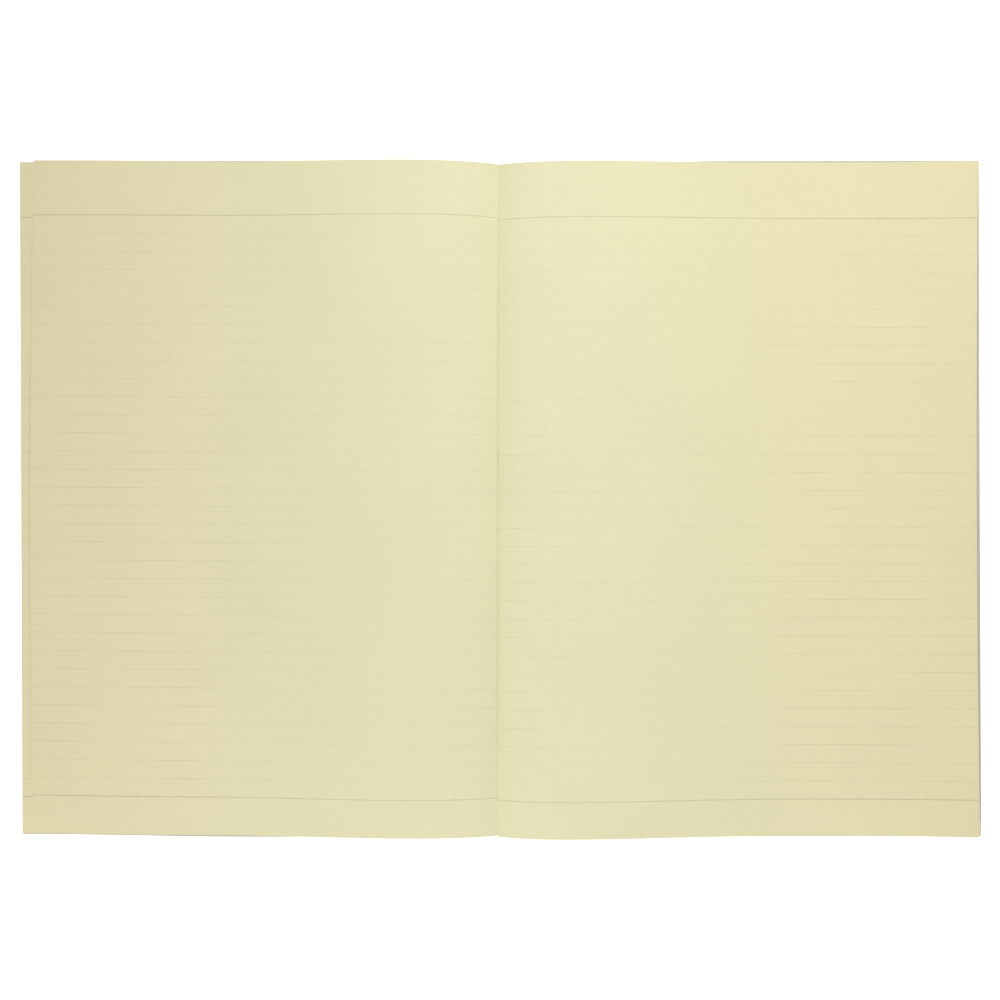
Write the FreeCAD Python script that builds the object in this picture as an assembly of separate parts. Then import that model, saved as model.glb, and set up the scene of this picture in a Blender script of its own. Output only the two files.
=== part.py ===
import FreeCAD, Part
import math
import os

# An open composition notebook lying on its covers, in millimetres.
# X runs across the spread, Y from the foot of the page to its head, Z up.

# Leaves
PAGE_HEIGHT = 296.0
LEAF = 0.11
LEFT_LEAVES = 10
RIGHT_LEAVES = 30

# Covers, cloth tape and glue. The covers and the tape stand out past the leaves
# at head and foot.
OVERHANG = 1.75
COVER = 0.4
COVER_REACH = 212.8
TAPE = 0.15
TAPE_WRAP = 10.0
HINGE_GAP = 0.3

# The gutter: how high the two top leaves part
CREASE = 2.2

# Each stack: its arch over the gutter, its flat part and its fore-edge. All
# distances are taken from the gutter, all heights from the table.
LEFT = {
    "leaves": LEFT_LEAVES,
    "rise": 13.3,
    "top_arch": 6.2,
    "top_fall": (28.0, 132.0),
    "under_arch": 4.6,
    "under_fall": (30.0, 112.0),
    "flat": 4.1,
    "edge_from": 138.0,
    "edge_change": -2.7,
    "top_reach": 205.2,
    "fan_reach": (210.5, 211.2),
    "leaves_per_ledge": 1,
}
RIGHT = {
    "leaves": RIGHT_LEAVES,
    "rise": 12.0,
    "top_arch": 6.1,
    "top_fall": (20.0, 136.0),
    "under_arch": 3.0,
    "under_fall": (30.0, 100.0),
    "flat": 3.7,
    "edge_from": 138.0,
    "edge_change": 1.8,
    "top_reach": 209.9,
    "fan_reach": (210.6, 211.9),
    "leaves_per_ledge": 3,
}

# How finely the two curves of a stack are fitted
FINE_STEP = 3.0
FINE_UNTIL = 18.0
COARSE_STEP = 8.0

# Derived places
SPINE = (LEFT_LEAVES + RIGHT_LEAVES) * LEAF
GUTTER = -SPINE / 2 + LEFT_LEAVES * LEAF
GLUE_TOP = COVER
HALF_HEIGHT = PAGE_HEIGHT / 2
COVER_HEIGHT = PAGE_HEIGHT + 2 * OVERHANG
TAPE_REACH = SPINE / 2 + TAPE_WRAP
COVER_START = SPINE / 2 + HINGE_GAP


def slab(x_from, x_to, z_from, z_to, height=COVER_HEIGHT):
    """A flat sheet, as tall as the covers unless another height is given."""
    corner = FreeCAD.Vector(min(x_from, x_to), -height / 2, z_from)
    return Part.makeBox(abs(x_to - x_from), height, z_to - z_from, corner)


def falling(d, start, end):
    """1 up to start, 0 from end on, and half a cosine wave between them."""
    share = min(max((d - start) / (end - start), 0.0), 1.0)
    return 0.5 * (1.0 + math.cos(math.pi * share))


def top_height(stack, d):
    """Height of a stack's top leaf at a distance from the gutter."""
    climb = 1.0 - math.exp(-d / stack["rise"])
    share = max(d - stack["edge_from"], 0.0) / (COVER_REACH - stack["edge_from"])
    resting = stack["flat"] + stack["edge_change"] * share**2
    arch = stack["top_arch"] * climb * falling(d, *stack["top_fall"])
    return CREASE + (resting - CREASE) * climb + arch


def under_height(stack, d, root):
    """Height of a stack's lowest leaf at a distance from the gutter."""
    climb = 1.0 - math.exp(-(d - root) / stack["rise"])
    return COVER + stack["under_arch"] * climb * falling(d, *stack["under_fall"])


def stations(start, end):
    """Distances from start to end, closer together near the gutter."""
    near_end = min(start + FINE_UNTIL, end)
    near = max(1, round((near_end - start) / FINE_STEP))
    far = max(1, round((end - near_end) / COARSE_STEP))
    places = [start + (near_end - start) * i / near for i in range(near)]
    return places + [near_end + (end - near_end) * i / far for i in range(far + 1)]


def curve(points, end_level=False):
    """A smooth curve through the points, level at its end where asked."""
    line = Part.BSplineCurve()
    if end_level:
        start = points[1] - points[0]
        level = FreeCAD.Vector(points[-1].x - points[-2].x, 0, 0)
        line.interpolate(points, InitialTangent=start, FinalTangent=level)
    else:
        line.interpolate(points)
    return line.toShape()


def ledges(stack):
    """(reach, height) of the fore-edge's ledges, from the top one down."""
    top_end = top_height(stack, stack["top_reach"])
    count = stack["leaves"] // stack["leaves_per_ledge"]
    step = (top_end - COVER) / count
    first, last = stack["fan_reach"]
    found = [(stack["top_reach"], top_end)]
    for i in range(1, count):
        reach = first + (last - first) * (i - 1) / (count - 2)
        found.append((reach, top_end - i * step))
    return found


def leaf_stack(stack, side):
    """The leaves of one side as one solid: glued at the spine, arched over the
    gutter, lying on the cover, and fanned into ledges at the fore-edge."""
    root = stack["leaves"] * LEAF

    def at(d, z):
        return FreeCAD.Vector(GUTTER + side * d, -HALF_HEIGHT, z)

    top = [at(d, top_height(stack, d)) for d in stations(0.0, stack["top_reach"])]
    landing = stack["under_fall"][1]
    under = [at(d, under_height(stack, d, root)) for d in stations(root, landing)]

    steps = ledges(stack)
    edge = [at(*steps[0])]
    for (reach, _), (next_reach, next_height) in zip(steps, steps[1:]):
        edge += [at(reach, next_height), at(next_reach, next_height)]
    edge.append(at(steps[-1][0], COVER))

    outline = [curve(top), Part.makePolygon(edge)]
    outline.append(Part.makeLine(edge[-1], under[-1]))
    outline.append(curve(under, end_level=True))
    outline.append(Part.makeLine(under[0], at(0.0, GLUE_TOP)))
    outline.append(Part.makeLine(at(0.0, GLUE_TOP), top[0]))
    edges = [e for piece in outline for e in piece.Edges]
    wire = Part.Wire(Part.sortEdges(edges)[0])
    return Part.Face(wire).extrude(FreeCAD.Vector(0, PAGE_HEIGHT, 0))


def cover(side):
    """One card cover, thinned where the cloth tape wraps under it."""
    card = slab(side * COVER_START, side * COVER_REACH, 0.0, COVER)
    rebate = slab(side * COVER_START, side * TAPE_REACH, 0.0, TAPE)
    return card.cut(rebate).Solids[0]


parts = {
    "front_cover": cover(-1),
    "back_cover": cover(1),
    "left_pages": leaf_stack(LEFT, -1),
    "right_pages": leaf_stack(RIGHT, 1),
    "spine_glue": slab(-SPINE / 2, SPINE / 2, TAPE, GLUE_TOP, PAGE_HEIGHT),
    "spine_tape": slab(-TAPE_REACH, TAPE_REACH, 0.0, TAPE),
}

os.makedirs("parts", exist_ok=True)
for node, shape in parts.items():
    shape.exportStep(f"parts/{node}.step")
    box = shape.BoundBox
    print(node, shape.isValid(), shape.ShapeType, round(shape.Volume), box)
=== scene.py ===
"""An open composition notebook: ruled leaves glued at a tape-bound spine, lying on its covers.

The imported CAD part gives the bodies, the hinge and the sizes. This script builds the looks on
top of it: every leaf as its own thin sheet, the card covers, the cloth tape and the glue.
Lengths are in millimetres in the classes and in metres in the meshes. Places across the spread
are taken from the gutter for the leaves, and from the middle of the spine for everything else.
"""

from __future__ import annotations

import logging
import math
import random
from dataclasses import dataclass, field, replace
from enum import Enum

import bmesh
import bpy
from mathutils import Matrix, Vector

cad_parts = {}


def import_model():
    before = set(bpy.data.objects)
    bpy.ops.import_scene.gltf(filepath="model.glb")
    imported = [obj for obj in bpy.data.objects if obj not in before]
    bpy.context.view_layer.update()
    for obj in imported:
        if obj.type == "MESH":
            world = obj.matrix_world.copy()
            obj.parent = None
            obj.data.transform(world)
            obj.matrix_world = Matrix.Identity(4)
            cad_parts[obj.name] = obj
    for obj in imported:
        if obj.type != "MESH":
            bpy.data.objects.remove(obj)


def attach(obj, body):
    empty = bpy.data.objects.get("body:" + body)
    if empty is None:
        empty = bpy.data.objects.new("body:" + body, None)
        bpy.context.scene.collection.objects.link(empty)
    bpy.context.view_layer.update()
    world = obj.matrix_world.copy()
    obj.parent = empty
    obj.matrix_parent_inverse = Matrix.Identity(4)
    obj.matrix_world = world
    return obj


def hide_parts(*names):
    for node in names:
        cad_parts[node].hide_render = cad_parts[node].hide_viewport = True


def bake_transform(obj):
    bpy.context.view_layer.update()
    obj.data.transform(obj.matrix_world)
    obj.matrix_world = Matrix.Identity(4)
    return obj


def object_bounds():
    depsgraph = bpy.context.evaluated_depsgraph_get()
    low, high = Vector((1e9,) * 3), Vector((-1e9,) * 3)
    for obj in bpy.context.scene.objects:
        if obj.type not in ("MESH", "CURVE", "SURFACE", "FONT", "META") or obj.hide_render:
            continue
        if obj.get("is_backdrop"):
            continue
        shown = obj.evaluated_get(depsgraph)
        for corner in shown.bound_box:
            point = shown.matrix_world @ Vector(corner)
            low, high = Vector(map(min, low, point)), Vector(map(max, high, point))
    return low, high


LOG = logging.getLogger("notebook")
MM = 0.001
SEED = 11
CRISP_ANGLE = math.radians(35)

# A noise texture keeps nearly all its values between these two
NOISE_LOW = 0.3
NOISE_HIGH = 0.7

# The driving sizes in mm, as in the part's source
LEAF = 0.11
LEFT_LEAVES = 10
RIGHT_LEAVES = 30
HALF_PAGE = 148.0
CREASE = 2.2
OVERHANG = 1.75
COVER = 0.4
COVER_REACH = 212.8
TAPE = 0.15
TAPE_WRAP = 10.0
HINGE_GAP = 0.3
SPINE_REACH = (LEFT_LEAVES + RIGHT_LEAVES) * LEAF / 2
GUTTER = LEFT_LEAVES * LEAF - SPINE_REACH


class Side(Enum):
    """Which half of the spread a piece belongs to, as the sign of its X."""

    LEFT = -1
    RIGHT = 1


class Body(Enum):
    """The CAD bodies that pieces ride on."""

    FRONT = "front_half"
    BACK = "back_half"


# Colour and node helpers


def to_linear(code: str) -> tuple[float, float, float, float]:
    """Turns an sRGB hex colour into linear light.

    Args:
        code: the colour as six hex digits.

    Returns:
        Linear red, green, blue and an alpha of 1.
    """
    found = []
    for i in (0, 2, 4):
        v = int(code[i : i + 2], 16) / 255
        found.append(v / 12.92 if v <= 0.04045 else ((v + 0.055) / 1.055) ** 2.4)
    return (found[0], found[1], found[2], 1.0)


def add_node(tree: bpy.types.NodeTree, kind: str, **settings: object) -> bpy.types.Node:
    """Adds a shader node, sets its properties and constant inputs and links the rest.

    Args:
        tree: the node tree.
        kind: the node's type name.
        **settings: a property's value, an input's constant, or an output socket to link. A node
            stands for its first output. Inputs are named by "in0", "in1", ... or by their own
            name in lower case.

    Returns:
        The new node.
    """
    node = tree.nodes.new(kind)
    inputs = {s.name.lower().replace(" ", "_"): s for s in reversed(node.inputs)}
    for name, value in settings.items():
        if hasattr(node, name) and name not in inputs:
            setattr(node, name, value)
            continue
        numbered = name[:2] == "in" and name[2:].isdigit()
        at = node.inputs[int(name[2:])] if numbered else inputs[name]
        if isinstance(value, bpy.types.Node):
            tree.links.new(value.outputs[0], at)
        elif isinstance(value, bpy.types.NodeSocket):
            tree.links.new(value, at)
        else:
            at.default_value = value
    return node


def line_mask(
    tree: bpy.types.NodeTree,
    place: bpy.types.Node | bpy.types.NodeSocket,
    width: float,
    soft: float = 0.05,
) -> bpy.types.Node:
    """1 on a line at place 0, falling to 0 over a soft edge.

    Args:
        tree: the node tree.
        place: distance from the middle of the line, in mm.
        width: the line's width, in mm.
        soft: how far the edge takes to fade to each side, in mm.

    Returns:
        The node that gives the mask.
    """
    away = add_node(tree, "ShaderNodeMath", operation="ABSOLUTE", in0=place)
    return add_node(
        tree,
        "ShaderNodeMapRange",
        interpolation_type="SMOOTHSTEP",
        value=away,
        from_min=width / 2 - soft,
        from_max=width / 2 + soft,
        to_min=1.0,
        to_max=0.0,
    )


# Finishes


@dataclass(frozen=True)
class Finish:
    """A plain finish, and what every finish shares.

    tone: the darkest and the lightest shade that a pattern gives the colour.
    relief and relief_strength: how high the pattern stands, in mm, and how clearly it shows.
    """

    name: str
    colour: str
    roughness: float = 0.9
    specular: float = 0.25
    tone: tuple[float, float] = (1.0, 1.0)
    relief: float = 0.0
    relief_strength: float = 0.0

    def start(self) -> tuple[bpy.types.Material, bpy.types.NodeTree, bpy.types.Node]:
        """Makes the material with its surface shader.

        Returns:
            The material, its node tree and the surface shader.
        """
        made = bpy.data.materials.new(self.name)
        made.use_nodes = True
        tree = made.node_tree
        surface = tree.nodes["Principled BSDF"]
        surface.inputs["Base Color"].default_value = to_linear(self.colour)
        surface.inputs["Roughness"].default_value = self.roughness
        surface.inputs["Specular IOR Level"].default_value = self.specular
        return made, tree, surface

    def raise_pattern(
        self, tree: bpy.types.NodeTree, surface: bpy.types.Node, pattern: bpy.types.Node
    ) -> None:
        """Gives the surface the relief of a pattern.

        Args:
            tree: the node tree.
            surface: the surface shader.
            pattern: the node that gives the pattern.
        """
        bump = add_node(
            tree,
            "ShaderNodeBump",
            strength=self.relief_strength,
            distance=self.relief * MM,
            height=pattern,
        )
        tree.links.new(bump.outputs[0], surface.inputs["Normal"])

    def shade_pattern(
        self,
        tree: bpy.types.NodeTree,
        surface: bpy.types.Node,
        pattern: bpy.types.Node,
        lowest: float,
        highest: float,
    ) -> None:
        """Shades the plain colour with a pattern.

        Args:
            tree: the node tree.
            surface: the surface shader.
            pattern: the node that gives the pattern.
            lowest: the pattern's value at the darkest shade.
            highest: its value at the lightest shade.
        """
        shade = add_node(
            tree,
            "ShaderNodeMapRange",
            value=pattern,
            from_min=lowest,
            from_max=highest,
            to_min=self.tone[0],
            to_max=self.tone[1],
        )
        colour = add_node(
            tree,
            "ShaderNodeVectorMath",
            operation="SCALE",
            in0=to_linear(self.colour)[:3],
            scale=shade,
        )
        tree.links.new(colour.outputs[0], surface.inputs["Base Color"])

    def material(self) -> bpy.types.Material:
        """Builds the finish.

        Returns:
            The finished material.
        """
        return self.start()[0]


@dataclass(frozen=True)
class RuledPaper(Finish):
    """Uncoated paper printed with feint rules, a header and a footer line with ticks.

    The print follows the leaf's own map: u is the distance from the gutter along the leaf and
    v the height over the footer line, both in mm. The stock is a little yellower towards the
    fore-edge, and the tooth of its fibres keeps it matte. That tooth is drawn coarser than it
    is, because real fibres are too fine to show. The rules and ticks have taken unevenly: best
    at takes_best_at from the gutter and less to both sides of it. Towards the head they are
    painted fainter as a painted highlight, which washes them out there. The header and footer
    lines grow stronger towards the fore-edge.
    """

    tone: tuple[float, float] = (0.978, 1.022)
    relief: float = 0.03
    relief_strength: float = 0.06
    fibre_size: float = 0.5
    mottle_size: float = 2.4
    cloud_size: float = 42.0
    fore_edge: str = "E4DBB1"
    yellows: tuple[float, float] = (20.0, 212.0)
    ink: str = "8A8568"
    pitch: float = 8.0
    spaces: int = 32
    rule_width: float = 0.3
    rule_strength: float = 0.2
    head_width: float = 0.36
    head_strength: tuple[float, float] = (0.3, 0.45)
    head_grows: tuple[float, float] = (60.0, 170.0)
    tick_pitch: float = 10.0
    tick_length: float = 1.0
    tick_width: float = 0.3
    tick_strength: float = 0.5
    patch_size: float = 26.0
    patch_noise: tuple[float, float] = (0.32, 0.68)
    patch_take: tuple[float, float] = (0.45, 1.45)
    takes_best_at: float = 175.0
    take_cycle: float = 230.0
    take_middle: float = 0.58
    take_swing: float = 0.26
    # Painted highlight: towards the head the rules and ticks fade to this share, over these
    # heights
    head_highlight_wash: float = 0.65
    highlight_wash_heights: tuple[float, float] = (140.0, 250.0)

    def material(self) -> bpy.types.Material:
        """Builds the finish.

        Returns:
            The finished material.
        """
        made, tree, surface = self.start()
        page = add_node(tree, "ShaderNodeUVMap", uv_map="page_mm")
        parts = add_node(tree, "ShaderNodeSeparateXYZ", in0=page)
        u, v = parts.outputs[0], parts.outputs[1]
        where = add_node(tree, "ShaderNodeTexCoord").outputs["Object"]
        inked = add_node(
            tree,
            "ShaderNodeMix",
            data_type="RGBA",
            in0=self._print(tree, where, u, v),
            in6=self._stock(tree, where, u),
            in7=to_linear(self.ink),
        )
        tree.links.new(inked.outputs[2], surface.inputs["Base Color"])
        scale = 1 / (self.fibre_size * MM)
        fibre = add_node(tree, "ShaderNodeTexNoise", vector=where, scale=scale, detail=3.0)
        self.raise_pattern(tree, surface, fibre)
        return made

    def _print(
        self,
        tree: bpy.types.NodeTree,
        where: bpy.types.NodeSocket,
        u: bpy.types.NodeSocket,
        v: bpy.types.NodeSocket,
    ) -> bpy.types.Node:
        """How much ink shows at each place, faded at the head by a painted highlight.

        Args:
            tree: the node tree.
            where: the place on the object, in metres.
            u: distance from the gutter, in mm.
            v: height over the footer line, in mm.

        Returns:
            The node that gives the ink's share, from 0 to 1.
        """
        top = self.pitch * self.spaces
        from_top = add_node(tree, "ShaderNodeMath", operation="SUBTRACT", in0=v, in1=top)
        feint = add_node(
            tree,
            "ShaderNodeMath",
            operation="MAXIMUM",
            in0=self._rules(tree, v, top),
            in1=self._ticks(tree, u, v, from_top),
        )
        take_and_highlight_wash = self._take_and_highlight_wash(tree, where, u, v)
        feint = add_node(tree, "ShaderNodeMath", operation="MULTIPLY", in0=feint, in1=take_and_highlight_wash)
        lines = add_node(
            tree,
            "ShaderNodeMath",
            operation="MAXIMUM",
            in0=line_mask(tree, v, self.head_width),
            in1=line_mask(tree, from_top, self.head_width),
        )
        strength = add_node(
            tree,
            "ShaderNodeMapRange",
            value=u,
            from_min=self.head_grows[0],
            from_max=self.head_grows[1],
            to_min=self.head_strength[0],
            to_max=self.head_strength[1],
        )
        lines = add_node(tree, "ShaderNodeMath", operation="MULTIPLY", in0=lines, in1=strength)
        return add_node(tree, "ShaderNodeMath", operation="MAXIMUM", in0=feint, in1=lines)

    def _rules(
        self, tree: bpy.types.NodeTree, v: bpy.types.NodeSocket, top: float
    ) -> bpy.types.Node:
        """The feint rules, from the footer line to the header line.

        Args:
            tree: the node tree.
            v: height over the footer line, in mm.
            top: the header line's height over the footer line, in mm.

        Returns:
            The node that gives their ink.
        """
        nearest = add_node(
            tree, "ShaderNodeMath", operation="PINGPONG", in0=v, in1=self.pitch / 2
        )
        over = add_node(
            tree, "ShaderNodeMath", operation="GREATER_THAN", in0=v, in1=-self.head_width
        )
        under = add_node(
            tree, "ShaderNodeMath", operation="LESS_THAN", in0=v, in1=top + self.head_width
        )
        ruled = add_node(tree, "ShaderNodeMath", operation="MULTIPLY", in0=over, in1=under)
        rule = add_node(
            tree,
            "ShaderNodeMath",
            operation="MULTIPLY",
            in0=line_mask(tree, nearest, self.rule_width),
            in1=self.rule_strength,
        )
        return add_node(tree, "ShaderNodeMath", operation="MULTIPLY", in0=rule, in1=ruled)

    def _ticks(
        self,
        tree: bpy.types.NodeTree,
        u: bpy.types.NodeSocket,
        v: bpy.types.NodeSocket,
        from_top: bpy.types.Node,
    ) -> bpy.types.Node:
        """The ticks that stand on the footer line and hang from the header line.

        Args:
            tree: the node tree.
            u: distance from the gutter, in mm.
            v: height over the footer line, in mm.
            from_top: height over the header line, in mm.

        Returns:
            The node that gives their ink.
        """
        half = self.tick_length / 2
        from_foot = add_node(tree, "ShaderNodeMath", operation="SUBTRACT", in0=v, in1=half)
        from_head = add_node(tree, "ShaderNodeMath", operation="ADD", in0=from_top, in1=half)
        band = add_node(
            tree,
            "ShaderNodeMath",
            operation="MAXIMUM",
            in0=line_mask(tree, from_foot, self.tick_length),
            in1=line_mask(tree, from_head, self.tick_length),
        )
        nearest = add_node(
            tree, "ShaderNodeMath", operation="PINGPONG", in0=u, in1=self.tick_pitch / 2
        )
        tick = add_node(
            tree,
            "ShaderNodeMath",
            operation="MULTIPLY",
            in0=line_mask(tree, nearest, self.tick_width),
            in1=self.tick_strength,
        )
        return add_node(tree, "ShaderNodeMath", operation="MULTIPLY", in0=tick, in1=band)

    def _take_and_highlight_wash(
        self,
        tree: bpy.types.NodeTree,
        where: bpy.types.NodeSocket,
        u: bpy.types.NodeSocket,
        v: bpy.types.NodeSocket,
    ) -> bpy.types.Node:
        """How well the rules and ticks have taken, faded at the head by a painted highlight.

        Args:
            tree: the node tree.
            where: the place on the object, in metres.
            u: distance from the gutter, in mm.
            v: height over the footer line, in mm.

        Returns:
            The node that gives a factor, mostly under 1.
        """
        scale = 1 / (self.patch_size * MM)
        patchy = add_node(tree, "ShaderNodeTexNoise", vector=where, scale=scale, detail=2.0)
        share = add_node(
            tree,
            "ShaderNodeMapRange",
            value=patchy,
            from_min=self.patch_noise[0],
            from_max=self.patch_noise[1],
            to_min=self.patch_take[0],
            to_max=self.patch_take[1],
        )
        from_best = add_node(
            tree, "ShaderNodeMath", operation="SUBTRACT", in0=u, in1=self.takes_best_at
        )
        rate = 2 * math.pi / self.take_cycle
        turn = add_node(tree, "ShaderNodeMath", operation="MULTIPLY", in0=from_best, in1=rate)
        wave = add_node(tree, "ShaderNodeMath", operation="COSINE", in0=turn)
        across = add_node(
            tree,
            "ShaderNodeMath",
            operation="MULTIPLY_ADD",
            in0=wave,
            in1=self.take_swing,
            in2=self.take_middle,
        )
        # Painted highlight: the rules and ticks fade towards the head
        highlight_wash = add_node(
            tree,
            "ShaderNodeMapRange",
            value=v,
            from_min=self.highlight_wash_heights[0],
            from_max=self.highlight_wash_heights[1],
            to_min=1.0,
            to_max=self.head_highlight_wash,
        )
        both = add_node(tree, "ShaderNodeMath", operation="MULTIPLY", in0=across, in1=highlight_wash)
        return add_node(tree, "ShaderNodeMath", operation="MULTIPLY", in0=share, in1=both)

    def _stock(
        self,
        tree: bpy.types.NodeTree,
        where: bpy.types.NodeSocket,
        u: bpy.types.NodeSocket,
    ) -> bpy.types.Node:
        """The bare paper: yellower outwards, with fibre mottling and wide, faint clouds.

        Args:
            tree: the node tree.
            where: the place on the object, in metres.
            u: distance from the gutter, in mm.

        Returns:
            The node that gives the paper's colour.
        """
        outward = add_node(
            tree,
            "ShaderNodeMapRange",
            value=u,
            from_min=self.yellows[0],
            from_max=self.yellows[1],
        )
        stock = add_node(
            tree,
            "ShaderNodeMix",
            data_type="RGBA",
            in0=outward,
            in6=to_linear(self.colour),
            in7=to_linear(self.fore_edge),
        )
        fine_scale, wide_scale = 1 / (self.mottle_size * MM), 1 / (self.cloud_size * MM)
        fine = add_node(tree, "ShaderNodeTexNoise", vector=where, scale=fine_scale, detail=4.0)
        wide = add_node(tree, "ShaderNodeTexNoise", vector=where, scale=wide_scale, detail=2.0)
        shade = add_node(
            tree,
            "ShaderNodeMapRange",
            value=add_node(tree, "ShaderNodeMath", operation="ADD", in0=fine, in1=wide),
            from_min=2 * NOISE_LOW,
            from_max=2 * NOISE_HIGH,
            to_min=self.tone[0],
            to_max=self.tone[1],
        )
        return add_node(
            tree, "ShaderNodeVectorMath", operation="SCALE", in0=stock.outputs[2], scale=shade
        )


@dataclass(frozen=True)
class CoverCard(Finish):
    """Plain uncoated card, whose faint felt texture keeps it matte."""

    tone: tuple[float, float] = (0.93, 1.06)
    relief: float = 0.05
    relief_strength: float = 0.25
    grain_size: float = 0.7

    def material(self) -> bpy.types.Material:
        """Builds the finish.

        Returns:
            The finished material.
        """
        made, tree, surface = self.start()
        where = add_node(tree, "ShaderNodeTexCoord").outputs["Object"]
        scale = 1 / (self.grain_size * MM)
        grain = add_node(tree, "ShaderNodeTexNoise", vector=where, scale=scale, detail=5.0)
        self.shade_pattern(tree, surface, grain, NOISE_LOW, NOISE_HIGH)
        self.raise_pattern(tree, surface, grain)
        return made


@dataclass(frozen=True)
class TapeCloth(Finish):
    """Bookbinding cloth: a plain weave, which breaks the light into small squares.

    Its threads are drawn a little coarser than they are, so that they show.
    """

    tone: tuple[float, float] = (0.8, 1.12)
    relief: float = 0.04
    relief_strength: float = 0.5
    thread_pitch: float = 0.55

    def material(self) -> bpy.types.Material:
        """Builds the finish.

        Returns:
            The finished material.
        """
        made, tree, surface = self.start()
        page = add_node(tree, "ShaderNodeUVMap", uv_map="page_mm")
        parts = add_node(tree, "ShaderNodeSeparateXYZ", in0=page)
        rate = 2 * math.pi / self.thread_pitch
        waves = []
        for place in parts.outputs[:2]:
            turn = add_node(tree, "ShaderNodeMath", operation="MULTIPLY", in0=place, in1=rate)
            waves.append(add_node(tree, "ShaderNodeMath", operation="SINE", in0=turn))
        warp, weft = waves
        weave = add_node(tree, "ShaderNodeMath", operation="MULTIPLY", in0=warp, in1=weft)
        self.shade_pattern(tree, surface, weave, -1.0, 1.0)
        self.raise_pattern(tree, surface, weave)
        return made


# Shapes


def smooth_fall(d: float, start: float, end: float) -> float:
    """1 up to start, 0 from end on, and half a cosine wave between them.

    Args:
        d: the place.
        start: where the fall starts.
        end: where it ends.

    Returns:
        The share that is left.
    """
    share = min(max((d - start) / (end - start), 0.0), 1.0)
    return 0.5 * (1.0 + math.cos(math.pi * share))


@dataclass(frozen=True)
class Lie:
    """How a stack's top and lowest leaves lie: distances from the gutter, heights in mm.

    rise: how far from the gutter the leaves take to climb.
    top_arch and top_fall: the top leaf's arch, and where it falls to the flat.
    under_arch and under_fall: the same for the lowest leaf.
    flat: the top leaf's height where it lies flat.
    edge_from, edge_change and corner_change: from where the leaf lifts towards its fore-edge,
    how far in the middle of the page, and how much more at the corners. It falls where the
    change is negative.
    cleft and cleft_reach: how far the leaf sinks right at the gutter, and over what distance.
    """

    rise: float
    top_arch: float
    top_fall: tuple[float, float]
    under_arch: float
    under_fall: tuple[float, float]
    flat: float
    edge_change: float
    corner_change: float = 0.0
    edge_from: float = 138.0
    cleft: float = 0.34
    cleft_reach: float = 0.38

    def top(self, d: float, y: float) -> float:
        """Height of the top leaf.

        Args:
            d: distance from the gutter.
            y: height up the page from its middle.

        Returns:
            The height over the table.
        """
        climb = 1.0 - math.exp(-d / self.rise)
        share = max(d - self.edge_from, 0.0) / (COVER_REACH - self.edge_from)
        lift = self.edge_change + self.corner_change * (y / HALF_PAGE) ** 2
        resting = self.flat + lift * share**2
        arch = self.top_arch * climb * smooth_fall(d, *self.top_fall)
        middle = max(1.0 - (y / HALF_PAGE) ** 4, 0.0)
        sunk = self.cleft * middle * math.exp(-d / self.cleft_reach)
        return CREASE + (resting - CREASE) * climb + arch - sunk

    def under(self, d: float, root: float) -> float:
        """Height of the underside of the lowest leaf.

        Args:
            d: distance from the gutter.
            root: where that leaf is glued.

        Returns:
            The height over the table.
        """
        climb = 1.0 - math.exp(-max(d - root, 0.0) / self.rise)
        return COVER + self.under_arch * climb * smooth_fall(d, *self.under_fall)


@dataclass(frozen=True)
class Set:
    """How a leaf or cover is set in the spread: a little out of square, as glued and trimmed.

    base: how far it sits towards the head.
    rise and bend: how far it climbs towards the head with the distance and with its square.
    lean: how far its fore-edge leans outwards for each mm up the page.
    bow and lift: how far the middle of its fore-edge stands out and up past the corners.
    flare: how far its head edge has climbed away from the header line at the fore-edge, over
    the margin at the head.
    sag and sag_reach: how much lower it sits right beside the gutter, and over what distance.
    full: the distance at which the lean, bow, lift and flare are whole.
    """

    base: float = 0.0
    rise: float = 0.0
    bend: float = 0.0
    lean: float = 0.0
    bow: float = 0.0
    lift: float = 0.0
    flare: float = 0.0
    margin: float = 24.0
    sag: float = 0.0
    sag_reach: float = 16.0
    full: float = 210.0

    def place(self, d: float, y: float, z: float) -> tuple[float, float, float]:
        """Moves a point of a square leaf to where it lies.

        Args:
            d: distance from the gutter.
            y: height up the page from its middle.
            z: height over the table.

        Returns:
            The moved distance and heights.
        """
        share = d / self.full
        middle = 1.0 - (y / HALF_PAGE) ** 2
        at_head = max(y - HALF_PAGE + self.margin, 0.0) / self.margin
        out = d + (self.lean * y + self.bow * middle) * share
        up = y + self.base + self.rise * d + self.bend * d**2 + self.flare * at_head * share**2
        up -= self.sag * math.exp(-d / self.sag_reach)
        return out, up, z + self.lift * middle * share**4


def new_object(name: str, bm: bmesh.types.BMesh, finish: bpy.types.Material) -> bpy.types.Object:
    """Makes an object at the origin from a mesh, with its normals outward.

    Args:
        name: the object's name.
        bm: the mesh, which is used up.
        finish: its material.

    Returns:
        The new object.
    """
    bmesh.ops.recalc_face_normals(bm, faces=bm.faces)
    mesh = bpy.data.meshes.new(name)
    bm.to_mesh(mesh)
    bm.free()
    mesh.materials.append(finish)
    made = bpy.data.objects.new(name, mesh)
    bpy.context.scene.collection.objects.link(made)
    LOG.info("%s: %d faces", name, len(mesh.polygons))
    return made


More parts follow.
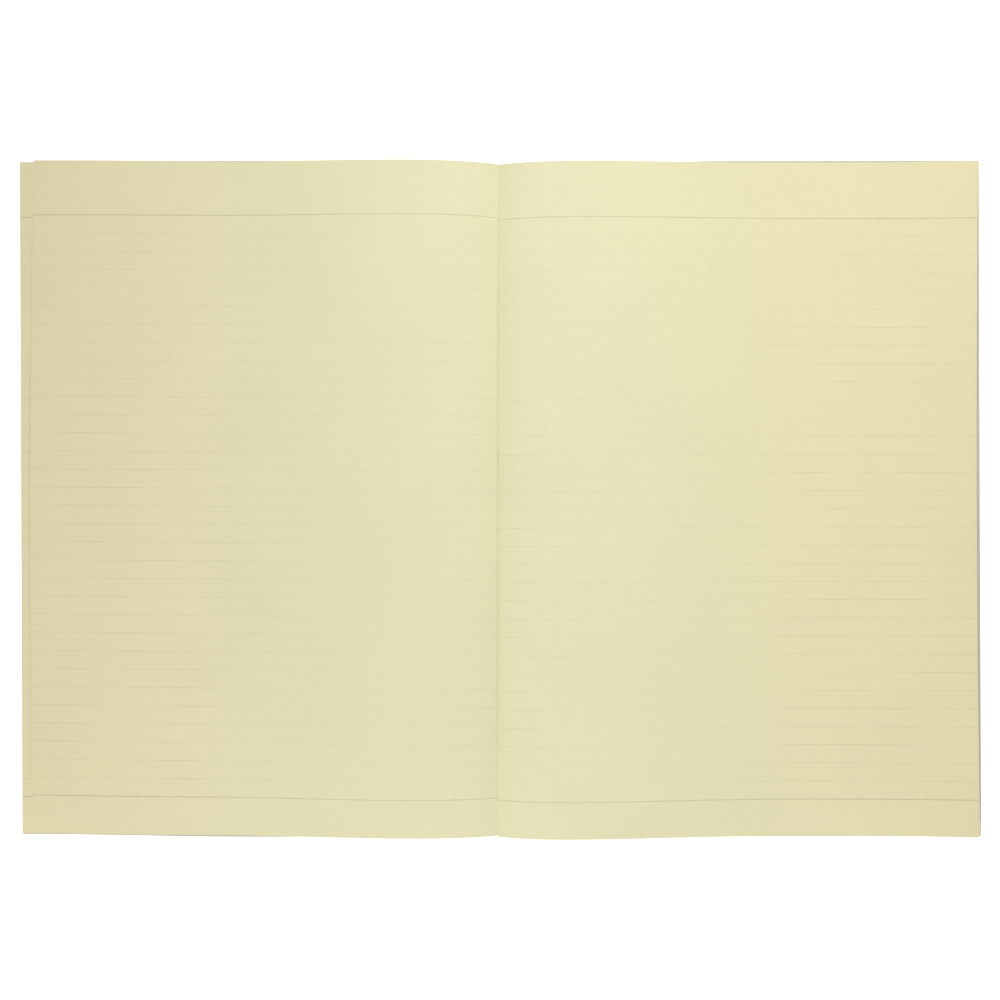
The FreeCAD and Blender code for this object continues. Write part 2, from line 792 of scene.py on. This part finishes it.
@dataclass
class Leaf:
    """One leaf as a sheet whose lines run from its glued root out to its fore-edge.

    Each line belongs to one height up the page, and starts with the stretch that stands in
    the spine. Its point number crease_at lies at the crease.
    """

    side: Side
    heights: list[float]
    lines: list[list[tuple[float, float]]]
    setting: Set
    footer: float
    crease_at: int = 2

    def add_to(self, bm: bmesh.types.BMesh, page: bmesh.types.BMLayerItem) -> None:
        """Adds the leaf's upper surface to a mesh.

        Args:
            bm: the mesh.
            page: the vertex layer that keeps each point's place on the page, in mm.
        """
        columns, rows = len(self.lines[0]) - 1, len(self.heights) - 1
        lengths = [self._lengths(line) for line in self.lines]
        grid = bmesh.ops.create_grid(bm, x_segments=columns, y_segments=rows, size=0.5)
        for vertex in grid["verts"]:
            i = round((0.5 + self.side.value * vertex.co.x) * columns)
            j = round((0.5 + vertex.co.y) * rows)
            d, z = self.lines[j][i]
            out, up, over = self.setting.place(d, self.heights[j], z)
            vertex[page] = (lengths[j][i], self.heights[j] - self.footer, 0.0)
            vertex.co = Vector((GUTTER + self.side.value * out, up, over)) * MM

    def _lengths(self, line: list[tuple[float, float]]) -> list[float]:
        """Distance along a line from the crease, at each of its points.

        Args:
            line: the line's points.

        Returns:
            The distances, in mm.
        """
        found = [0.0]
        for here, ahead in zip(line, line[1:]):
            found.append(found[-1] + math.dist(here, ahead))
        return [length - found[self.crease_at] for length in found]


@dataclass
class LeafStack:
    """The leaves of one side of the spread.

    reach: where the first and the last leaf end, within the jitter and never more than
    past_last beyond the last. The top leaf ends at top_reach.
    foot_margin: from the foot of a leaf to its footer line.
    under_print_shift: how far the print of the leaves under the top one is shifted.
    air: the least and the most air under a leaf, as shares, and top_air that of the top leaf.
    paper_share: how much of a leaf's pitch is paper.
    turn: how much the rise of the leaves' settings varies.
    near_step, near_growth and near_steps: the first distance of a line from its root, how it
    grows and for how many steps. The rest of the line has far_steps.
    root_gap and bend_at: how far the leaf stands off the glue, and the share of its stretch in
    the spine at which it has a point.
    """

    side: Side
    body: Body
    node: str
    name: str
    leaves: int
    lie: Lie
    reach: tuple[float, float]
    top_reach: float
    top_set: Set
    rest_set: Set
    foot_margin: float
    under_print_shift: float = 0.0
    page_height: float = 296.6
    jitter: float = 0.3
    past_last: float = 0.1
    air: tuple[float, float] = (0.5, 1.5)
    top_air: float = 0.8
    paper_share: float = 0.92
    turn: float = 0.0005
    fine_leaves: int = 2
    fine_rows: int = 37
    coarse_rows: int = 12
    near_step: float = 0.12
    near_growth: float = 1.5
    near_steps: int = 12
    far_steps: int = 44
    root_gap: float = 0.02
    bend_at: float = 0.75

    def build(self, finish: bpy.types.Material) -> bpy.types.Object:
        """Builds every leaf and ties the stack to its body.

        Args:
            finish: the ruled paper.

        Returns:
            The stack's object.
        """
        rng = random.Random(SEED + self.leaves)
        weights = [rng.uniform(*self.air) for _ in range(self.leaves)]
        weights[0] = self.top_air
        total = sum(weights)
        bm = bmesh.new()
        page = bm.verts.layers.float_vector.new("page")
        used = 0.0
        for k in range(self.leaves):
            setting, reach, shift = self._setting(k, rng)
            heights = self._heights(k)
            Leaf(
                side=self.side,
                heights=heights,
                lines=[self._line(k, used / total, reach, y) for y in heights],
                setting=setting,
                footer=self.foot_margin - self.page_height / 2 + shift,
            ).add_to(bm, page)
            used += weights[k]
        self._thicken(bm, page)
        made = new_object(self.name, bm, finish)
        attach(made, self.body.value)
        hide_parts(self.node)
        return made

    def _thicken(self, bm: bmesh.types.BMesh, page: bmesh.types.BMLayerItem) -> None:
        """Gives the leaves their thickness, their map in mm and crisp cut edges.

        Args:
            bm: the leaves' upper surfaces.
            page: the vertex layer with each point's place on the page.
        """
        bm.normal_update()
        bmesh.ops.solidify(bm, geom=bm.faces[:], thickness=LEAF * self.paper_share * MM)
        uv = bm.loops.layers.uv.new("page_mm")
        for face in bm.faces:
            face.smooth = True
            for loop in face.loops:
                loop[uv].uv = loop.vert[page].xy
        for edge in bm.edges:
            edge.smooth = edge.calc_face_angle(0.0) < CRISP_ANGLE
        bm.verts.layers.float_vector.remove(page)

    def _setting(self, k: int, rng: random.Random) -> tuple[Set, float, float]:
        """How leaf k is set.

        Args:
            k: the leaf's number, from the top one at the gutter.
            rng: the stack's own random numbers.

        Returns:
            Its setting, its reach from the gutter and how far its print is shifted.
        """
        first, last = self.reach
        share = k / (self.leaves - 1)
        wander = rng.uniform(-1.0, 1.0)
        if k == 0:
            return self.top_set, self.top_reach, 0.0
        reach = first + (last - first) * share + self.jitter * wander
        rise = self.rest_set.rise + self.turn * rng.uniform(-1.0, 1.0)
        turned = replace(self.rest_set, rise=rise)
        return turned, min(reach, last + self.past_last), self.under_print_shift

    def _heights(self, k: int) -> list[float]:
        """Where the leaf has rows of vertices up the page.

        Args:
            k: the leaf's number.

        Returns:
            Heights from the page's middle, in mm.
        """
        rows = self.fine_rows if k < self.fine_leaves else self.coarse_rows
        return [self.page_height * (j / rows - 0.5) for j in range(rows + 1)]

    def _line(self, k: int, used: float, reach: float, y: float) -> list[tuple[float, float]]:
        """The leaf's upper surface at one height up the page, from root to fore-edge.

        Args:
            k: the leaf's number.
            used: the share of the stack's air above this leaf.
            reach: where the leaf ends.
            y: height up the page from its middle.

        Returns:
            Points as distance from the gutter and height over the table.
        """
        root = k * LEAF
        near = [root + self.near_step * self.near_growth**i for i in range(self.near_steps)]
        step = (reach - near[-1]) / self.far_steps
        far = [near[-1] + step * i for i in range(1, self.far_steps + 1)]
        crease = self._height(k, used, root, y)
        low = COVER + self.root_gap
        spine = [(root, low), (root, low + self.bend_at * (crease - low)), (root, crease)]
        return spine + [(d, self._height(k, used, d, y)) for d in near + far]

    def _height(self, k: int, used: float, d: float, y: float) -> float:
        """Height of the leaf's upper surface.

        Args:
            k: the leaf's number.
            used: the share of the stack's air above this leaf.
            d: distance from the gutter.
            y: height up the page from its middle.

        Returns:
            The height over the table.
        """
        top = self.lie.top(d, y)
        under = self.lie.under(d, self.leaves * LEAF)
        air = max(top - under - self.leaves * LEAF, 0.0)
        paper = min(LEAF, (top - under) / self.leaves)
        return top - air * used - k * paper


@dataclass
class CoverBoard:
    """One card cover, thinned on the outside where the tape is glued.

    reach: how far it reaches from the middle of the spine.
    spine_trim and spine_fall: how much shorter each end is at the spine, and where that ends.
    fore_trim and fore_from: how much shorter each end is at the fore-edge, and from where.
    rim: the radius of its cut edges.
    on_rim: the share of its size past which an edge's middle counts as on the rim.
    cut_pitch: how far apart it is cut across, so that its outline can follow the trim.
    """

    side: Side
    body: Body
    node: str
    name: str
    setting: Set
    reach: float = COVER_REACH
    spine_trim: float = OVERHANG
    spine_fall: tuple[float, float] = (30.0, 100.0)
    fore_trim: float = 0.0
    fore_from: float = 170.0
    start: float = SPINE_REACH + HINGE_GAP
    tape_reach: float = SPINE_REACH + TAPE_WRAP
    half_height: float = HALF_PAGE + OVERHANG
    rim: float = 0.06
    on_rim: float = 0.995
    cut_pitch: float = 10.0

    def build(self, finish: bpy.types.Material) -> bpy.types.Object:
        """Builds the cover.

        Args:
            finish: the card.

        Returns:
            The cover's object.
        """
        profile = [
            (self.start, TAPE),
            (self.tape_reach, TAPE),
            (self.tape_reach, 0.0),
            (self.reach, 0.0),
            (self.reach, COVER),
            (self.start, COVER),
        ]
        bm = bmesh.new()
        section = bm.faces.new([bm.verts.new((d, -self.half_height, z)) for d, z in profile])
        pulled = bmesh.ops.extrude_face_region(bm, geom=[section])["geom"]
        ends = [part for part in pulled if isinstance(part, bmesh.types.BMVert)]
        bmesh.ops.translate(bm, vec=(0.0, 2 * self.half_height, 0.0), verts=ends)
        bmesh.ops.bevel(
            bm,
            geom=[edge for edge in bm.edges if self._on_rim(edge)],
            offset=self.rim,
            offset_type="OFFSET",
            affect="EDGES",
            segments=2,
            profile=0.5,
            material=-1,
        )
        for i in range(1, int(self.reach / self.cut_pitch) + 1):
            every = [*bm.verts, *bm.edges, *bm.faces]
            cut = (i * self.cut_pitch, 0.0, 0.0)
            bmesh.ops.bisect_plane(bm, geom=every, plane_co=cut, plane_no=(1, 0, 0))
        for vertex in bm.verts:
            d, y, z = vertex.co
            d, y, z = self.setting.place(d, y * self._share(d), z)
            vertex.co = Vector((self.side.value * d, y, z)) * MM
        made = new_object(self.name, bm, finish)
        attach(made, self.body.value)
        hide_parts(self.node)
        return made

    def _share(self, d: float) -> float:
        """How much of the full height is left after the trim.

        Args:
            d: distance from the middle of the spine.

        Returns:
            The share of the full height.
        """
        at_fore_edge = 1.0 - smooth_fall(d, self.fore_from, self.reach)
        trim = self.spine_trim * smooth_fall(d, *self.spine_fall) + self.fore_trim * at_fore_edge
        return 1.0 - trim / self.half_height

    def _on_rim(self, edge: bmesh.types.BMEdge) -> bool:
        """Whether an edge of the untrimmed cover lies at its head, foot or fore-edge.

        Args:
            edge: an edge of the cover.

        Returns:
            True on the three cut sides.
        """
        here, there = (vertex.co for vertex in edge.verts)
        middle = (here + there) / 2
        at_end = abs(middle.y) > self.on_rim * self.half_height
        return at_end or middle.x > self.on_rim * self.reach


@dataclass
class SpineStrip:
    """A flat strip along the spine, cut across into folds: the cloth tape or the glue.

    low and high: the heights of its two faces over the table.
    bend_from and bend_to: the places across the spine between which it is cut into folds.
    """

    name: str
    node: str
    slot: str
    reach: float
    low: float
    high: float
    half_height: float = HALF_PAGE
    bend_from: float = GUTTER
    bend_to: float = -2.4
    folds: int = 14

    def build(self, finish: bpy.types.Material) -> bpy.types.Object:
        """Builds the strip.

        Args:
            finish: its material.

        Returns:
            The strip's object.
        """
        bm = bmesh.new()
        size = Vector((2 * self.reach, 2 * self.half_height, self.high - self.low))
        bmesh.ops.create_cube(bm, size=1.0)
        bmesh.ops.scale(bm, vec=size * MM, verts=bm.verts)
        bmesh.ops.translate(bm, vec=(0, 0, (self.low + self.high) / 2 * MM), verts=bm.verts)
        for i in range(self.folds + 1):
            x = self.bend_from + (self.bend_to - self.bend_from) * i / self.folds
            if abs(x) < self.reach:
                every = [*bm.verts, *bm.edges, *bm.faces]
                bmesh.ops.bisect_plane(bm, geom=every, plane_co=(x * MM, 0, 0), plane_no=(1, 0, 0))
        uv = bm.loops.layers.uv.new("page_mm")
        for face in bm.faces:
            for loop in face.loops:
                loop[uv].uv = loop.vert.co.xy / MM
        made = new_object(self.name, bm, finish)
        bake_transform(made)
        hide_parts(self.node)
        return made


# The studio


@dataclass(frozen=True)
class Lamp:
    """One soft square area light, aimed at the middle of the spread. Lengths in metres."""

    name: str
    place: tuple[float, float, float]
    power: float
    size: float = 0.3

    def build(self) -> None:
        """Builds the light."""
        data = bpy.data.lights.new(self.name, "AREA")
        data.shape = "SQUARE"
        data.size = self.size
        data.energy = self.power
        light = bpy.data.objects.new(self.name, data)
        light.location = self.place
        light.rotation_euler = (-light.location).to_track_quat("-Z", "Y").to_euler()
        light.visible_camera = False
        bpy.context.scene.collection.objects.link(light)


@dataclass
class Studio:
    """The pale floor, the soft lights and the camera over the spread.

    aim_slope: how far the camera looks aside for each unit down.
    floor_reach and floor_drop: half the floor's width, in metres, and its depth in mm.
    glow and glow_span: how much light of its own the camera sees on the floor near the
    notebook and away from it, and the distances in metres between which that changes.
    """

    camera_mm: tuple[float, float, float] = (-1.764, 0.617, 600.0)
    aim_slope: tuple[float, float] = (0.0028, -0.00124)
    lens_mm: float = 48.715
    sensor_mm: float = 36.0
    clip_start: float = 0.01
    ambient: float = 0.469
    floor_reach: float = 6.0
    floor_drop: float = 0.03
    floor_grey: float = 0.9
    glow: tuple[float, float] = (0.6, 1.0)
    glow_span: tuple[float, float] = (0.3, 0.9)
    lamps: tuple[Lamp, ...] = (
        Lamp("window_light", (0.12, 0.30, 0.45), 1.3),
        Lamp("front_light", (-0.15, -0.95, 0.48), 6.0),
    )

    def build(self) -> None:
        """Builds the floor, the world, the lights and the camera."""
        self._floor()
        self._world()
        for lamp in self.lamps:
            lamp.build()
        self._camera()

    def _floor(self) -> None:
        """A wide floor that looks white to the camera away from the notebook."""
        bm = bmesh.new()
        bmesh.ops.create_grid(bm, x_segments=1, y_segments=1, size=self.floor_reach)
        bmesh.ops.translate(bm, vec=(0, 0, -self.floor_drop * MM), verts=bm.verts)
        made = bpy.data.materials.new("pale_floor")
        made.use_nodes = True
        tree = made.node_tree
        tree.nodes.remove(tree.nodes["Principled BSDF"])
        grey = (self.floor_grey, self.floor_grey, self.floor_grey, 1.0)
        matte = add_node(tree, "ShaderNodeBsdfDiffuse", color=grey)
        where = add_node(tree, "ShaderNodeTexCoord").outputs["Object"]
        away = add_node(tree, "ShaderNodeVectorMath", operation="LENGTH", in0=where)
        glow = add_node(
            tree,
            "ShaderNodeMapRange",
            interpolation_type="SMOOTHSTEP",
            value=away.outputs["Value"],
            from_min=self.glow_span[0],
            from_max=self.glow_span[1],
            to_min=self.glow[0],
            to_max=self.glow[1],
        )
        seen = add_node(tree, "ShaderNodeLightPath").outputs["Is Camera Ray"]
        strength = add_node(tree, "ShaderNodeMath", operation="MULTIPLY", in0=glow, in1=seen)
        lit = add_node(tree, "ShaderNodeEmission", strength=strength)
        both = add_node(tree, "ShaderNodeAddShader", in0=matte, in1=lit)
        tree.links.new(both.outputs[0], tree.nodes["Material Output"].inputs["Surface"])
        new_object("floor", bm, made)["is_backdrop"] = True

    def _world(self) -> None:
        """Soft light from all round, and plain white behind the notebook."""
        world = bpy.data.worlds.new("soft_room")
        bpy.context.scene.world = world
        world.use_nodes = True
        tree = world.node_tree
        room = tree.nodes["Background"]
        room.inputs["Color"].default_value = (1.0, 1.0, 1.0, 1.0)
        room.inputs["Strength"].default_value = self.ambient
        plain = add_node(tree, "ShaderNodeBackground", color=(1, 1, 1, 1), strength=1.0)
        seen = add_node(tree, "ShaderNodeLightPath").outputs["Is Camera Ray"]
        mixed = add_node(tree, "ShaderNodeMixShader", in0=seen, in1=room, in2=plain)
        tree.links.new(mixed.outputs[0], tree.nodes["World Output"].inputs["Surface"])

    def _camera(self) -> None:
        """The camera straight over the spread, as the photograph was taken."""
        data = bpy.data.cameras.new("camera")
        data.lens = self.lens_mm
        data.sensor_width = self.sensor_mm
        data.clip_start = self.clip_start
        camera = bpy.data.objects.new("camera", data)
        camera.location = Vector(self.camera_mm) * MM
        aim = Vector((*self.aim_slope, -1.0)).normalized()
        right = aim.cross(Vector((0, 1, 0))).normalized()
        up = right.cross(aim)
        turn = [[right[i], up[i], -aim[i]] for i in range(3)]
        camera.rotation_euler = Matrix(turn).to_euler()
        bpy.context.scene.collection.objects.link(camera)
        bpy.context.scene.camera = camera
        bpy.context.scene.view_settings.view_transform = "Standard"


@dataclass
class Notebook:
    """The whole object: two stacks of leaves, two covers, the tape and the glue."""

    left: LeafStack = field(
        default_factory=lambda: LeafStack(
            side=Side.LEFT,
            body=Body.FRONT,
            node="left_pages",
            name="left_leaves",
            leaves=LEFT_LEAVES,
            lie=Lie(
                rise=13.3,
                top_arch=6.2,
                top_fall=(28.0, 132.0),
                under_arch=4.6,
                under_fall=(30.0, 112.0),
                flat=4.1,
                edge_change=-2.7,
            ),
            reach=(210.3, 210.9),
            top_reach=205.0,
            top_set=Set(
                base=0.22, bend=2.2e-5, lean=-0.0015, bow=1.5, lift=0.25, flare=0.55, sag=0.45
            ),
            rest_set=Set(base=0.1, rise=0.0038, lean=0.0033),
            foot_margin=16.71,
            under_print_shift=-0.74,
            page_height=296.3,
            jitter=0.12,
        )
    )
    right: LeafStack = field(
        default_factory=lambda: LeafStack(
            side=Side.RIGHT,
            body=Body.BACK,
            node="right_pages",
            name="right_leaves",
            leaves=RIGHT_LEAVES,
            lie=Lie(
                rise=12.0,
                top_arch=6.1,
                top_fall=(20.0, 136.0),
                under_arch=3.0,
                under_fall=(30.0, 100.0),
                flat=3.7,
                edge_change=0.8,
                corner_change=2.1,
            ),
            reach=(211.2, 211.7),
            top_reach=210.8,
            top_set=Set(
                base=-0.55, rise=0.00886, bend=-3.16e-5, lean=-0.0035, bow=-0.5, flare=0.5
            ),
            rest_set=Set(base=-0.4, rise=0.0045, lean=-0.0035, bow=-0.4),
            foot_margin=16.23,
        )
    )
    front: CoverBoard = field(
        default_factory=lambda: CoverBoard(
            side=Side.LEFT,
            body=Body.FRONT,
            node="front_cover",
            name="front_board",
            setting=Set(base=0.02, rise=0.0032, lean=0.0033),
            reach=211.8,
            fore_trim=1.0,
            fore_from=110.0,
        )
    )
    back: CoverBoard = field(
        default_factory=lambda: CoverBoard(
            side=Side.RIGHT,
            body=Body.BACK,
            node="back_cover",
            name="back_board",
            setting=Set(base=0.2, rise=0.0018, lean=-0.004),
        )
    )
    tape: SpineStrip = field(
        default_factory=lambda: SpineStrip(
            name="cloth_tape",
            node="spine_tape",
            slot="tape_cloth",
            reach=SPINE_REACH + TAPE_WRAP,
            low=0.0,
            high=TAPE,
        )
    )
    glue: SpineStrip = field(
        default_factory=lambda: SpineStrip(
            name="glue_film",
            node="spine_glue",
            slot="glue",
            reach=SPINE_REACH,
            low=TAPE,
            high=COVER,
        )
    )

    def build(self) -> list[bpy.types.Object]:
        """Builds every piece.

        Returns:
            The pieces.
        """
        paper = RuledPaper("ruled_cream_paper", "E4E0B8").material()
        card = CoverCard("grey_card", "D6D1C4").material()
        cloth = TapeCloth("bookbinding_cloth", "7A766E").material()
        # Dried binding glue is smoother than paper, which gives it a soft sheen
        glue = Finish("dried_glue", "E6DFC4", roughness=0.5, specular=0.5).material()
        return [
            self.left.build(paper),
            self.right.build(paper),
            self.front.build(card),
            self.back.build(card),
            self.tape.build(cloth),
            self.glue.build(glue),
        ]


def note_bounds(sizes: dict[str, list[list[float]]], when: str) -> None:
    """Keeps the shown object's lowest and highest corner.

    Args:
        sizes: the corners found so far.
        when: the name to keep them under.
    """
    low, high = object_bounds()
    sizes[when] = [list(low), list(high)]


def main() -> None:
    """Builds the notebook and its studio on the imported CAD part."""
    logging.basicConfig(level=logging.INFO)
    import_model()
    sizes: dict[str, list[list[float]]] = {}
    note_bounds(sizes, "cad")
    pieces = Notebook().build()
    Studio().build()
    LOG.info("pieces: %s", ", ".join(p.name for p in pieces))
    note_bounds(sizes, "looks")


if __name__ == "__main__":
    main()
